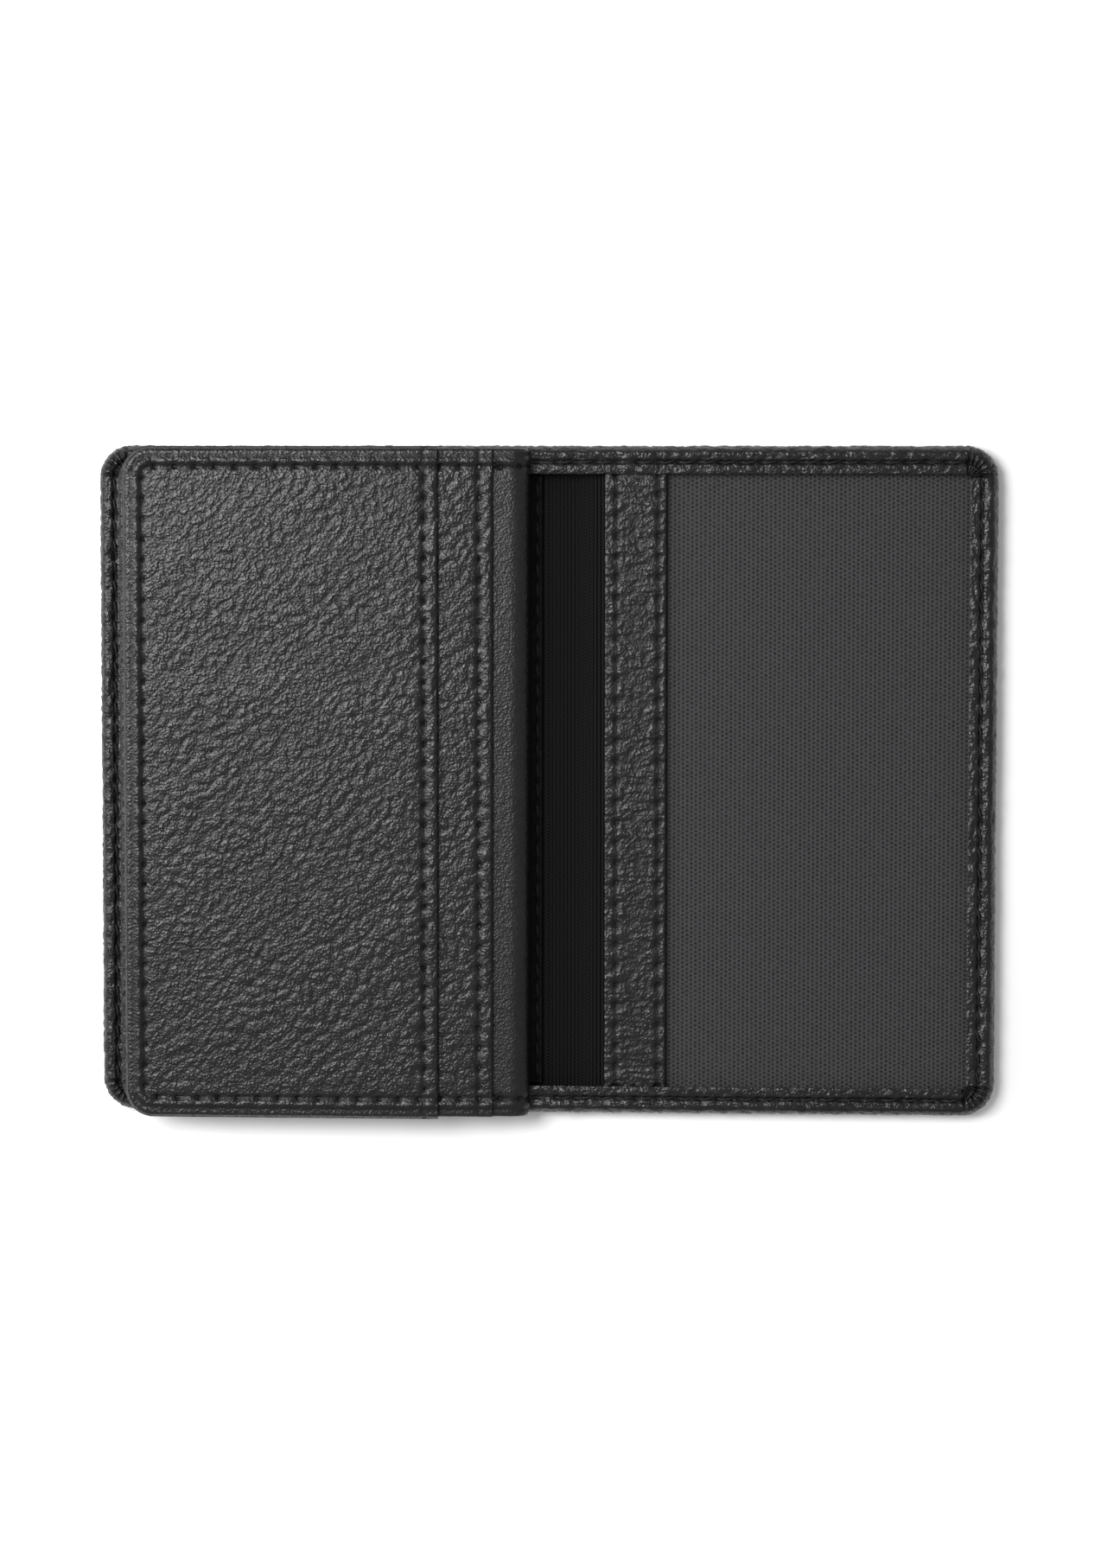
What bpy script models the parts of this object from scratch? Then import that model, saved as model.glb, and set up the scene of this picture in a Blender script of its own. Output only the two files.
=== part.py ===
"""A trifold card wallet, lying open with its inner faces up.

Two leather covers hang on a soft spine. A card wing is sewn into the spine between them and turns like the
page of a book; at rest it lies on the left cover. X runs across the covers, Y along the spine, and Z up from
the surface the wallet lies on. The origin is under the middle of the spine.

Sizes are in millimetres, and every mesh is made in metres.
"""

import math
from typing import NamedTuple

import bmesh
import bpy
from mathutils import Vector

MM = 0.001

# Covers
COVER_WIDTH = 60.6  # from the spine's crease to the fore edge
COVER_HEIGHT = 98.8
COVER_CORNER = 4.8
SKIN = 0.8  # outer leather
COVER_BOARD = 0.4
LINING = 0.2
WINDOW_BACKING = 0.25
WINDOW_FILM = 0.15
STRIP = 0.6  # pocket strip
TURNED_EDGE = 0.6  # outer leather where it is thinned and folded over
EDGE_WALL = 0.8  # leather that stands up at the edge
BORDER = 4.2  # visible width of the turned edge
STITCH_INSET = 2.5  # stitch line to the outer edge

# Pocket strip on each cover, measured from the spine's crease
STRIP_FROM_CREASE = 2.9
STRIP_WIDTH = 9.2
MOUTH_STITCH_INSET = 1.8
WINDOW_STITCH_INSET = 1.2
BACKING_UNDER_STRIP = 8.0  # how far backing and film reach in below the strip

# Wing
WING_SHORTER = 0.5  # than the covers, along the spine
WING_CORNER = 4.8
WING_DROP = 0.25  # how far the wing sits off the covers' middle, towards -Y
WING_BACK = 0.6
WING_BOARD = 0.4
WING_TURNED_EDGE = 0.6
HINGE_STRIP = 0.6
SLOT_PANEL = 0.6
WING_FRONT = 0.7
FRONT_SETBACK = 1.3  # the front leaf's fore edge to the back leather's
FRONT_RIM = 3.4  # the front leaf's edge, turned under to meet the back leather
SLOT_STEP = 8.0  # one slot's mouth to the next
SLOT_OVERLAP = 9.0  # how far a slot panel reaches under the leaf above it
STRIP_SHOWING = 4.6  # hinge strip beyond the last slot's mouth
SLOT_STITCH_INSET = 2.0
SLOT_LINER = 0.15
WING_STITCH_INSET = 2.7

# Hinge between the wing and the spine
WEB = 0.7  # hinge leather's thickness
WEB_FOOT = 1.9
GUTTER_STITCH_INSET = 0.8
WEB_TOP_CLEARANCE = 0.55  # below the wing's turning axis
STRIP_CLEARANCE = 0.85  # from the wing's turning axis
HINGE_LEAN = 2.25  # the wing's turning axis to the spine's middle
WING_SHIFT = 3.2  # how far the wing moves towards the fore edge when the covers close

# Thread
THREAD_WIDTH = 0.5
THREAD_HEIGHT = 0.2
THREAD_SINK = 0.05  # thread's top below the leather's face
THREAD_GAP = 0.12  # thread to its groove
THREAD_STEP = 0.4  # run over which a thread drops to the next leather

# Clearances
LAYER_GAP = 0.15
FIT = 0.3  # between a layer's edge and the leather round it
REST_GAP = 0.3  # the wing above the left cover
CLOSED_GAP = 0.5  # the right cover above the wing, closed
CREASE_GAP = 0.3  # between two pieces that meet at a crease
BOARD_SETBACK = 1.2  # a cover's board to the crease
HINGE_HEIGHT = SKIN  # the leather folds about its inner face

CORNER_STEPS = 7
OVERCUT = 1.0  # how far a cutter passes the face that it opens


def stack(bottom, thicknesses):
    """The (underside, top) of each layer, laid up from the bottom with a gap between layers."""
    layers = {}
    for name, thickness in thicknesses.items():
        layers[name] = (bottom, bottom + thickness)
        bottom += thickness + LAYER_GAP
    return layers


COVER = stack(
    0.0,
    {
        "skin": SKIN,
        "board": COVER_BOARD,
        "lining": LINING,
        "backing": WINDOW_BACKING,
        "film": WINDOW_FILM,
        "strip": STRIP,
        "turned_edge": TURNED_EDGE,
    },
)
COVER_TOP = COVER["turned_edge"][1]
WING = stack(
    COVER_TOP + REST_GAP,
    {
        "back": WING_BACK,
        "board": WING_BOARD,
        "turned_edge": WING_TURNED_EDGE,
        "hinge_strip": HINGE_STRIP,
        "slot_panel": SLOT_PANEL,
        "front": WING_FRONT,
    },
)
WING_BOTTOM, WING_TOP = WING["back"][0], WING["front"][1]

# The spine is as wide as the closed covers are apart, with the wing between them.
SPINE_WIDTH = (
    2 * (COVER_TOP - HINGE_HEIGHT) + (WING_TOP - WING_BOTTOM) + REST_GAP + CLOSED_GAP
)
CREASE = SPINE_WIDTH / 2
COVER_EDGE = CREASE + COVER_WIDTH
STRIP_MOUTH = CREASE + STRIP_FROM_CREASE
STRIP_END = STRIP_MOUTH + STRIP_WIDTH

# The wing's turning axis is halfway up the wing, so that it lies as high on either cover.
TURN_AXIS = (-HINGE_LEAN, (WING_BOTTOM + WING_TOP) / 2)
WING_ROOT = TURN_AXIS[0] - STRIP_CLEARANCE
SLOT_A_MOUTH = WING_ROOT - STRIP_SHOWING
SLOT_B_MOUTH = SLOT_A_MOUTH - SLOT_STEP
WING_EDGE = WING_SHIFT - COVER_EDGE  # in line with the covers' fore edges once they close
SPINE_TOP = COVER["skin"][1] + LAYER_GAP + LINING  # top of the lining over the spine


class Panel(NamedTuple):
    """A flat panel's outline, with square corners at x = inner and round ones at x = outer."""

    inner: float
    outer: float
    low: float
    high: float
    corner: float

    @property
    def side(self):
        return math.copysign(1.0, self.outer - self.inner)

    def inset(self, by):
        """The panel, smaller by this much at its three free edges."""
        return self._replace(
            outer=self.outer - self.side * by,
            low=self.low + by,
            high=self.high - by,
            corner=max(self.corner - by, 0.3),
        )

    def from_inner(self, by):
        """The panel, shorter by this much at its inner edge, or longer for a negative value."""
        return self._replace(inner=self.inner + self.side * by)

    def points(self):
        """The outline from one inner corner to the other, by way of the two round ones."""
        centre = self.outer - self.side * self.corner
        route = [(self.inner, self.low)]
        for middle, start in ((self.low + self.corner, -90), (self.high - self.corner, 0)):
            for step in range(CORNER_STEPS + 1):
                angle = math.radians(start + 90 * step / CORNER_STEPS)
                route.append(
                    (
                        centre + self.side * self.corner * math.cos(angle),
                        middle + self.corner * math.sin(angle),
                    )
                )
        route.append((self.inner, self.high))
        return route


def rectangle(left, right, low, high):
    return [(left, low), (right, low), (right, high), (left, high)]


def material(name, colour, roughness, metallic=0.0, alpha=1.0):
    made = bpy.data.materials.new(name)
    made.use_nodes = True
    shader = made.node_tree.nodes["Principled BSDF"]
    shader.inputs["Base Color"].default_value = (*colour, 1.0)
    shader.inputs["Roughness"].default_value = roughness
    shader.inputs["Metallic"].default_value = metallic
    shader.inputs["Alpha"].default_value = alpha
    return made


def leather(name):
    return material(name + "_leather", (0.045, 0.045, 0.045), 0.5)


def twill(name):
    return material(name + "_twill", (0.009, 0.009, 0.009), 0.75)


def thread(name):
    return material(name + "_thread", (0.012, 0.012, 0.012), 0.6)


def card(name):
    return material(name + "_card", (0.22, 0.19, 0.15), 0.9)


def weave(name):
    return material(name + "_weave", (0.048, 0.048, 0.051), 0.7)


def clear_film(name):
    return material(name + "_film", (0.9, 0.9, 0.92), 0.12, alpha=0.25)


class Body:
    """A rigid group of pieces, held by an empty on the axis that the group turns about."""

    def __init__(self, name, x=0.0, z=0.0, parent=None):
        self.empty = bpy.data.objects.new(name + "_axis", None)
        self.empty.empty_display_size = 5 * MM
        bpy.context.scene.collection.objects.link(self.empty)
        self.place = Vector((x * MM, 0.0, z * MM))
        self.empty.parent = parent.empty if parent else None
        self.empty.location = self.place - (parent.place if parent else Vector())

    def add(self, name, build, finish):
        """Adds a piece whose mesh is given in the wallet's own coordinates, in millimetres."""
        piece = new_object(name, build, self.place)
        piece.parent = self.empty
        piece.data.materials.append(finish(name))
        return piece


def new_object(name, build, origin):
    """An object from bmesh(millimetres), with its points measured from origin."""
    bmesh.ops.recalc_face_normals(build, faces=build.faces)
    bmesh.ops.scale(build, vec=(MM, MM, MM), verts=build.verts)
    bmesh.ops.translate(build, vec=-origin, verts=build.verts)
    mesh = bpy.data.meshes.new(name)
    build.to_mesh(mesh)
    build.free()
    made = bpy.data.objects.new(name, mesh)
    bpy.context.scene.collection.objects.link(made)
    return made


def slab(outline, bottom, top):
    """A flat piece: an outline in X and Y, raised from bottom to top."""
    build = bmesh.new()
    face = build.faces.new([build.verts.new((x, y, bottom)) for x, y in outline])
    raised = bmesh.ops.extrude_face_region(build, geom=[face])["geom"]
    moved = [v for v in raised if isinstance(v, bmesh.types.BMVert)]
    bmesh.ops.translate(build, vec=(0, 0, top - bottom), verts=moved)
    return build


def bar(profile, low, high):
    """A straight piece along the spine: a profile in X and Z, drawn out in Y from low to high."""
    build = bmesh.new()
    face = build.faces.new([build.verts.new((x, low, z)) for x, z in profile])
    drawn = bmesh.ops.extrude_face_region(build, geom=[face])["geom"]
    moved = [v for v in drawn if isinstance(v, bmesh.types.BMVert)]
    bmesh.ops.translate(build, vec=(0, high - low, 0), verts=moved)
    return build


def ribbon(route, width, below, above):
    """A band of this width along (x, y, z) points, reaching below and above them, with mitred corners."""
    build = bmesh.new()
    flat = [Vector((x, y)) for x, y, _ in route]
    runs = [(b - a).normalized() for a, b in zip(flat, flat[1:])]
    rings = []
    for (x, y, z), before, after in zip(route, runs[:1] + runs, runs + runs[-1:]):
        along = (before + after).normalized()
        reach = width / 2 / along.dot(before)
        across = Vector((-along.y, along.x)) * reach
        rings.append(
            [
                build.verts.new((x + side * across.x, y + side * across.y, z + rise))
                for side, rise in ((-1, -below), (1, -below), (1, above), (-1, above))
            ]
        )
    for ring, following in zip(rings, rings[1:]):
        for k in range(4):
            n = (k + 1) % 4
            build.faces.new((ring[k], ring[n], following[n], following[k]))
    build.faces.new(rings[0])
    build.faces.new(rings[-1])
    return build


def cut(pieces, name, build):
    """Takes a hidden shape out of each of these pieces."""
    cutter = new_object(name, build, Vector())
    cutter.hide_render = True
    cutter.display_type = "WIRE"
    for piece in pieces:
        hole = piece.modifiers.new(name, "BOOLEAN")
        hole.operation = "DIFFERENCE"
        hole.object = cutter
    return cutter


def stitch(body, name, leathers, route):
    """A row of thread in a groove along the leathers' faces. The route's points lie on those faces."""
    sunk = [(x, y, z - THREAD_SINK) for x, y, z in route]
    body.add(name, ribbon(sunk, THREAD_WIDTH, THREAD_HEIGHT, 0.0), thread)
    groove = ribbon(
        longer(sunk, OVERCUT),
        THREAD_WIDTH + 2 * THREAD_GAP,
        THREAD_HEIGHT + THREAD_GAP,
        OVERCUT / 2,
    )
    cut(leathers, name + "_groove", groove)


def longer(route, by):
    """The route, carried on at both ends."""
    first, second = (Vector(p) for p in route[:2])
    last, before = (Vector(p) for p in (route[-1], route[-2]))
    head = first + (first - second).normalized() * by
    tail = last + (last - before).normalized() * by
    return [tuple(head), *route[1:-1], tuple(tail)]


def level(points, z):
    return [(x, y, z) for x, y in points]


def cover_panel(side):
    """A cover's outline, from its crease outwards. side is -1 on the left and 1 on the right."""
    half = COVER_HEIGHT / 2
    inner = side * (CREASE + CREASE_GAP / 2)
    return Panel(inner, side * COVER_EDGE, -half, half, COVER_CORNER)


def turned_leather(body, name, panel, layers, floor, rim, border):
    """Leather under a panel's layers, with its free edges turned up and over them."""
    bottom, top = layers[floor][0], layers[rim][1]
    piece = body.add(name, slab(panel.points(), bottom, top), leather)
    hollow = panel.inset(EDGE_WALL).from_inner(-OVERCUT)
    opening = panel.inset(border).from_inner(-OVERCUT)
    cut([piece], name + "_hollow", slab(hollow.points(), layers[floor][1], layers[rim][0]))
    cut([piece], name + "_opening", slab(opening.points(), layers[rim][0] - LAYER_GAP / 2, top + OVERCUT))
    return piece


def add_cover(body, label, side):
    """A cover's pieces that both covers have: leather, board, lining, pocket strip and stitching."""
    panel = cover_panel(side)
    inside = panel.inset(EDGE_WALL + FIT)
    skin = turned_leather(body, label + "_outer_leather", panel, COVER, "skin", "turned_edge", BORDER)
    body.add(label + "_board", slab(inside.from_inner(BOARD_SETBACK).points(), *COVER["board"]), card)
    body.add(label + "_lining", slab(inside.points(), *COVER["lining"]), twill)
    ends = rectangle(side * STRIP_MOUTH, side * STRIP_END, inside.low, inside.high)
    strip = body.add(label + "_pocket_strip", slab(ends, *COVER["strip"]), leather)

    edge = panel.inset(STITCH_INSET).from_inner(THREAD_WIDTH)
    stitch(body, label + "_edge_stitching", [skin], level(edge.points(), COVER_TOP))
    rows = {
        "_mouth_stitching": STRIP_MOUTH + MOUTH_STITCH_INSET,
        "_window_stitching": STRIP_END - WINDOW_STITCH_INSET,
    }
    reach = COVER_HEIGHT / 2 - BORDER - FIT
    for row, x in rows.items():
        line = [(side * x, -reach, COVER["strip"][1]), (side * x, reach, COVER["strip"][1])]
        stitch(body, label + row, [strip], line)
    return inside._replace(inner=side * (STRIP_END - BACKING_UNDER_STRIP))


def add_left_cover(body):
    panel = add_cover(body, "left", -1)
    heights = COVER["backing"][0], COVER["film"][1]
    body.add("left_pocket_panel", slab(panel.points(), *heights), leather)


def add_right_cover(body):
    panel = add_cover(body, "right", 1)
    body.add("window_backing", slab(panel.points(), *COVER["backing"]), weave)
    body.add("window_film", slab(panel.points(), *COVER["film"]), clear_film)


def add_spine(body):
    """The outer leather between the creases, with its ends turned over, and the lining on it."""
    side = CREASE - CREASE_GAP / 2
    half = COVER_HEIGHT / 2
    across = side + OVERCUT
    name = "spine_outer_leather"
    skin = body.add(name, slab(rectangle(-side, side, -half, half), 0.0, COVER_TOP), leather)
    inner, opening = half - EDGE_WALL, half - BORDER
    turned = COVER["turned_edge"]
    cut([skin], name + "_hollow", slab(rectangle(-across, across, -inner, inner), SKIN, turned[0]))
    clear = rectangle(-across, across, -opening, opening)
    cut([skin], name + "_opening", slab(clear, turned[0] - LAYER_GAP / 2, COVER_TOP + OVERCUT))

    lining = rectangle(-side, side, FIT - inner, inner - FIT)
    body.add("spine_lining", slab(lining, SPINE_TOP - LINING, SPINE_TOP), twill)
    for end, y in (("top", half - STITCH_INSET), ("bottom", STITCH_INSET - half)):
        line = [(THREAD_WIDTH - side, y, COVER_TOP), (side - THREAD_WIDTH, y, COVER_TOP)]
        stitch(body, f"spine_{end}_stitching", [skin], line)


def add_hinge_web(body):
    """The hinge leather: an upright in the gutter, on a foot that is sewn to the spine."""
    foot = SPINE_TOP + LAYER_GAP
    left = TURN_AXIS[0] - WEB / 2
    profile = [
        (left, foot),
        (left + WEB_FOOT, foot),
        (left + WEB_FOOT, foot + WEB),
        (left + WEB, foot + WEB),
        (left + WEB, TURN_AXIS[1] - WEB_TOP_CLEARANCE),
        (left, TURN_AXIS[1] - WEB_TOP_CLEARANCE),
    ]
    reach = COVER_HEIGHT / 2 - BORDER - FIT
    web = body.add("hinge_web", bar(profile, -reach, reach), leather)
    x = left + WEB_FOOT - GUTTER_STITCH_INSET + THREAD_WIDTH / 4
    end = reach - THREAD_WIDTH
    line = [(x, -end, foot + WEB), (x, end, foot + WEB)]
    stitch(body, "gutter_stitching", [web], line)


def wing_stitch_route(panel):
    """Round the front leaf, and down over each slot's mouth to the hinge strip at both ends."""
    heights = [WING[layer][1] for layer in ("hinge_strip", "slot_panel", "front")]
    mouths = [SLOT_A_MOUTH, SLOT_B_MOUTH]
    start = WING_ROOT - THREAD_WIDTH
    tail = [(start, heights[0])]
    for mouth, below, above in zip(mouths, heights, heights[1:]):
        edge = mouth + THREAD_GAP
        tail += [(edge + THREAD_STEP, below), (edge, above)]
    sewn = panel.inset(WING_STITCH_INSET)
    route = [(x, sewn.low, z) for x, z in tail]
    route += level(sewn.points()[1:-1], WING["front"][1])
    route += [(x, sewn.high, z) for x, z in reversed(tail)]
    return route


def add_front_leaf(body, leaf, rim_end):
    """The top leaf. Its free edges are turned under, as far towards the spine as rim_end."""
    bottom, under = WING["turned_edge"][1] + LAYER_GAP, WING["front"][0]
    front = body.add("wing_front_leather", slab(leaf.points(), bottom, WING_TOP), leather)
    hollow = leaf.inset(FRONT_RIM).points()
    over_slots = rectangle(rim_end, leaf.inner + OVERCUT, leaf.low - OVERCUT, leaf.high + OVERCUT)
    cut([front], "front_leaf_hollow", slab(hollow, bottom - OVERCUT, under))
    cut([front], "front_leaf_over_slots", slab(over_slots, bottom - OVERCUT, under))
    return front


def add_wing(body):
    """The card wing: a back leather, a board and two card slots under a large front leaf."""
    half = (COVER_HEIGHT - WING_SHORTER) / 2
    whole = Panel(WING_ROOT, WING_EDGE, -half - WING_DROP, half - WING_DROP, WING_CORNER)
    back = whole.from_inner(EDGE_WALL + FIT)
    turned_leather(body, "wing_back_leather", back, WING, "back", "turned_edge", BORDER)
    inside = back.inset(EDGE_WALL + FIT)
    body.add("wing_board", slab(inside.from_inner(BOARD_SETBACK).points(), *WING["board"]), card)

    leaf = whole._replace(inner=SLOT_B_MOUTH, outer=WING_EDGE + FRONT_SETBACK)
    reach = SLOT_B_MOUTH - SLOT_OVERLAP
    front = add_front_leaf(body, leaf, reach - FIT)
    leathers = [front]
    for name, liner_name, layer, mouth in (
        ("slot_panel", "slot_b_liner", "slot_panel", SLOT_A_MOUTH),
        ("wing_hinge_strip", "slot_a_liner", "hinge_strip", WING_ROOT),
    ):
        bottom, top = WING[layer]
        outline = rectangle(reach, mouth, whole.low, whole.high)
        leathers.append(body.add(name, slab(outline, bottom, top), leather))
        liner = leaf.inset(FRONT_RIM + FIT)._replace(inner=reach - FIT)
        body.add(liner_name, slab(liner.points(), bottom, bottom + SLOT_LINER), twill)

    stitch(body, "wing_edge_stitching", leathers, wing_stitch_route(leaf))
    low, high = leaf.low + 2 * WING_STITCH_INSET, leaf.high - 2 * WING_STITCH_INSET
    rows = (
        ("slot_b_stitching", front, SLOT_B_MOUTH, "front"),
        ("slot_a_stitching", leathers[1], SLOT_A_MOUTH, "slot_panel"),
    )
    for name, sewn, mouth, layer in rows:
        x, z = mouth - SLOT_STITCH_INSET, WING[layer][1]
        stitch(body, name, [sewn], [(x, low, z), (x, high, z)])


def main():
    for thing in list(bpy.data.objects):
        bpy.data.objects.remove(thing, do_unlink=True)

    left_cover = Body("left_cover")
    spine = Body("spine", -CREASE, HINGE_HEIGHT, left_cover)
    right_cover = Body("right_cover", CREASE, HINGE_HEIGHT, spine)
    # This axis is as far along the spine as it is above it, so the wing keeps its height as the covers close.
    wing_hinge = Body("wing_hinge", WING_SHIFT / 2 - CREASE, HINGE_HEIGHT + WING_SHIFT / 2, spine)
    wing = Body("wing", *TURN_AXIS, wing_hinge)

    add_left_cover(left_cover)
    add_spine(spine)
    add_right_cover(right_cover)
    add_hinge_web(wing_hinge)
    add_wing(wing)


main()
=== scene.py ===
"""Looks of a black leather card wallet that lies open.

Grained leather is turned over the edges of two covers and sewn down, a card wing turns in the gutter,
and twill linings and a grey woven window backing lie inside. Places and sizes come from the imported
frame.
"""

import math

import bpy
import numpy as np
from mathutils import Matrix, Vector


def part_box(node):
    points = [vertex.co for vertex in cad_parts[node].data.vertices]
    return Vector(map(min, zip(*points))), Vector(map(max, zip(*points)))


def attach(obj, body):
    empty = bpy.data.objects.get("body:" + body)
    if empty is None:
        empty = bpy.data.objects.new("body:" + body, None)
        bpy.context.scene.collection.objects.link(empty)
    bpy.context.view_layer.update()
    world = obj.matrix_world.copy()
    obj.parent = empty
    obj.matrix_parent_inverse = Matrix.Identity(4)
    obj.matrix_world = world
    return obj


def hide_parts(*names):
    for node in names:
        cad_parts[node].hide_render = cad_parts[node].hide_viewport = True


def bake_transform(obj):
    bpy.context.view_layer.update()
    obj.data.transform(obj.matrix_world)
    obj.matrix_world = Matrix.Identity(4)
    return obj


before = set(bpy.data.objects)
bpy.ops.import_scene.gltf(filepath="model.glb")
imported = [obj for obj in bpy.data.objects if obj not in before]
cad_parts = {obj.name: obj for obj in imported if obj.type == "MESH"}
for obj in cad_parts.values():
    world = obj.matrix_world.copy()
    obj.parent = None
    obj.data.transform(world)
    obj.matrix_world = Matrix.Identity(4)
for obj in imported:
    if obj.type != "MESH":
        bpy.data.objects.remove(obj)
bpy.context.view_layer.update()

MM = 0.001

# Shapes that a node's box doesn't tell
CORNER = 4.8  # corner radius of the covers and of the wing's back leather
FRONT_CORNER = 3.9  # corner radius of the wing's front leaf
COVER_BORDER = 4.2  # turned leather that shows along a cover's edge
WING_BORDER = 3.2
FRONT_RIM = 3.4  # leather turned under at the front leaf's edge
COVER_ROLL = 1.35  # how far in a cover's edge is rounded
WING_ROLL = 0.7
CREASE = 5.625  # the spine's creases, either side of the middle
LAYER_ENDS = (11.8, 14.4)  # where layers end under a cover's turned border and lift it
FOLD = 2.4  # half the width over which leather bends at a crease
HINGE_RADIUS = 1.9  # how far down the hinge leather rolls into the gutter
HINGE_ROLL = 2.7  # how far back its roll begins
HINGE_LEATHER = 0.55
GUTTER_LEATHER = 0.5

# Stitches
PITCH = 3.0
THREAD = 0.36
STITCH_LENGTH = 2.2
STITCH_DIP = 0.34  # how far a stitch's ends go down into its holes
STITCH_SIDES = 8
STITCH_RINGS = 11
GROOVE = 0.2  # depth of the groove that a row of stitches pulls in
GROOVE_WIDTH = 0.3
HOLE = 0.3
PUCKER = 0.95  # reach of the gathers round a hole

# Relief of the leathers
PEBBLE = 1.9
PEBBLE_DEPTH = 0.3
PLEATS = 6  # pleats round a turned corner
PLEAT_DEPTH = 0.45
EDGE_LINES = np.array([0.0, 0.05, 0.11, 0.18, 0.26, 0.36, 0.48, 0.62])  # grid lines in from an edge

# Cloths
TWILL_RIB = 0.55
WEAVE_THREAD = 0.64


# Places


def box(node):
    """Lowest and highest corner of a CAD node, in millimetres."""
    low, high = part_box(node)
    return np.array(low) / MM, np.array(high) / MM


COVER_LOW, COVER_HIGH = box("right_outer_leather")
WING_LOW, WING_HIGH = box("wing_back_leather")
FRONT_LOW, FRONT_HIGH = box("wing_front_leather")
SLOT_LOW, SLOT_HIGH = box("slot_panel")
HINGE_LOW, HINGE_HIGH = box("wing_hinge_strip")
WEB_LOW, WEB_HIGH = box("hinge_web")
STRIP_LOW, STRIP_HIGH = box("right_pocket_strip")
LINING_LOW, LINING_HIGH = box("right_lining")
SPINE_LINING_TOP = box("spine_lining")[1][2]
BACKING_LOW, BACKING_HIGH = box("window_backing")
PANEL_LOW, PANEL_HIGH = box("left_pocket_panel")


def row_x(node):
    """The x of a straight row of stitches."""
    low, high = box(node)
    return (low[0] + high[0]) / 2


def half_width(node):
    """Half the width in x of a row of stitches."""
    low, high = box(node)
    return (high[0] - low[0]) / 2


HALF_GROOVE = half_width("slot_a_stitching")
COVER_INSET = COVER_HIGH[0] - box("right_edge_stitching")[1][0] + HALF_GROOVE
WING_INSET = WING_HIGH[1] - box("wing_edge_stitching")[1][1] + HALF_GROOVE
SLOT_A = row_x("slot_a_stitching")
SLOT_B = row_x("slot_b_stitching")
GUTTER = row_x("gutter_stitching")
MOUTH = row_x("right_mouth_stitching")
WINDOW = row_x("right_window_stitching")


# Noise


def hashed(i, j, seed):
    """A repeatable random number from 0 to 1 for each whole cell."""
    n = (i * 374761393 + j * 668265263 + seed * 144269504) & 0xFFFFFFFF
    n = ((n ^ (n >> 13)) * 1274126177) & 0xFFFFFFFF
    return ((n ^ (n >> 16)) & 0xFFFFFF) / float(0x1000000)


def noise(x, y, size, seed):
    """Smooth noise from -1 to 1, in bumps about size wide."""
    u, v = x / size, y / size
    i, j = np.floor(u).astype(np.int64), np.floor(v).astype(np.int64)
    a, b = u - i, v - j
    a, b = a * a * (3 - 2 * a), b * b * (3 - 2 * b)
    low = hashed(i, j, seed) * (1 - a) + hashed(i + 1, j, seed) * a
    high = hashed(i, j + 1, seed) * (1 - a) + hashed(i + 1, j + 1, seed) * a
    return 2 * (low * (1 - b) + high * b) - 1


def cells(x, y, size, seed):
    """Rounded cells: 0 in the creases between them, 1 on top."""
    u, v = x / size, y / size
    i, j = np.floor(u).astype(np.int64), np.floor(v).astype(np.int64)
    near = np.full(np.shape(u), 9.0)
    second = near.copy()
    for di in (-1, 0, 1):
        for dj in (-1, 0, 1):
            cx = i + di + 0.1 + 0.8 * hashed(i + di, j + dj, seed)
            cy = j + dj + 0.1 + 0.8 * hashed(i + di, j + dj, seed + 91)
            away = np.hypot(u - cx, v - cy)
            second = np.minimum(second, np.maximum(near, away))
            near = np.minimum(near, away)
    rise = np.clip((second - near) / 0.55, 0, 1)
    return 1 - (1 - rise) ** 2


def grain(x, y, seed, size=PEBBLE, lean=38, stretch=1.3):
    """Natural leather grain, from 0 in its creases to 1 on its pebbles, drawn out along
    its lean, which is in degrees."""
    turn = math.radians(lean)
    wx = x + 0.55 * size * noise(x, y, 1.7 * size, seed + 1)
    wy = y + 0.55 * size * noise(x, y, 1.7 * size, seed + 2)
    u = (wx * math.cos(turn) + wy * math.sin(turn)) / stretch
    v = wy * math.cos(turn) - wx * math.sin(turn)
    coarse = cells(u, v, size, seed)
    fine = cells(u * 1.25, v, 0.52 * size, seed + 7)
    patch = 0.5 + 0.5 * noise(x, y, 4.5 * size, seed + 3)
    swell = 0.5 + 0.5 * noise(u, v, 2.2 * size, seed + 5)
    return (0.2 + 0.35 * patch) * coarse + (0.42 - 0.22 * patch) * fine + 0.23 * swell


def smooth(value, low, high):
    """A smooth step, from 0 at low to 1 at high."""
    t = np.clip((value - low) / (high - low), 0, 1)
    return t * t * (3 - 2 * t)


def hump(value, low, high):
    """0 outside low and high, and a round top of 1 between them."""
    t = np.clip((value - low) / (high - low), 0, 1)
    return np.sin(np.pi * t)


def ridge(value, middle, width):
    """1 at middle, falling off to both sides of it within about width."""
    return np.exp(-(((value - middle) / width) ** 2))


# Meshes


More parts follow.
